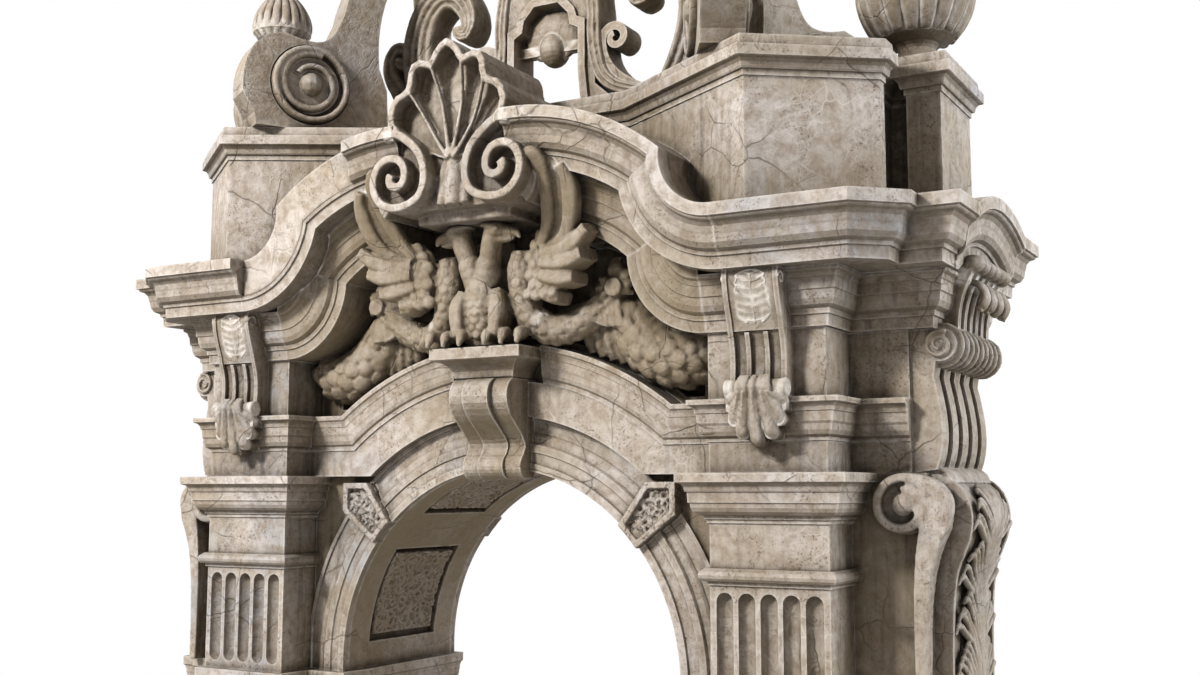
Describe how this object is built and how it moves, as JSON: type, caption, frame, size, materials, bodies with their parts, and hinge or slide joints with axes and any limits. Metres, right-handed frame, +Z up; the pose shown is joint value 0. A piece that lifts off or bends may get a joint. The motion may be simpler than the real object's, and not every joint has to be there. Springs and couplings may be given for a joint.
{
  "type": "triumphal arch",
  "caption": "Carved stone gateway: a round-headed passage between fluted piers, a swan-necked pediment with scrolls and a shell, and a tall carved attic with volutes and urns.",
  "frame": {"origin": "on the ground, in the middle of the passage both ways", "axes": "+X to the right along the front, -Y towards the front with the eagle, +Z up"},
  "size_m": [7, 2.984, 9.096],
  "materials": {
    "dressed_stone": "weathered",
    "carved_stone": "weathered",
    "shaded_stone": "weathered, grimed"
  },
  "bodies": {
    "root": {"plinths": "shaded_stone", "lower_piers": "dressed_stone", "impost_cornices": "dressed_stone", "wing_walls": "dressed_stone", "arch_wall": "shaded_stone", "soffit_panels": "shaded_stone", "front_archivolt": "dressed_stone", "back_archivolt": "dressed_stone", "ear_blocks": "carved_stone", "bands": "dressed_stone", "front_arch_cornice": "dressed_stone", "back_arch_cornice": "dressed_stone", "front_keystone": "carved_stone", "back_keystone": "carved_stone", "front_pilasters": "dressed_stone", "back_pilasters": "dressed_stone", "front_capitals": "dressed_stone", "back_capitals": "dressed_stone", "friezes": "dressed_stone", "string_courses": "dressed_stone", "upper_piers": "dressed_stone", "bed_mouldings": "dressed_stone", "tympanum_wall": "shaded_stone", "front_architrave": "dressed_stone", "back_architrave": "dressed_stone", "sweeps": "dressed_stone", "cornices": "dressed_stone", "front_pediment": "dressed_stone", "back_pediment": "dressed_stone", "front_scrolls": "carved_stone", "back_scrolls": "carved_stone", "front_shell": "carved_stone", "back_shell": "carved_stone", "front_consoles": "carved_stone", "back_consoles": "carved_stone", "flank_hoods": "dressed_stone", "flank_scrolls": "carved_stone", "side_volutes": "carved_stone", "eagle": "carved_stone", "garlands": "carved_stone", "attic_wall": "dressed_stone", "attic_cap": "dressed_stone", "attic_wings": "carved_stone", "crest": "carved_stone", "urns": "carved_stone"}
  },
  "joints": []
}
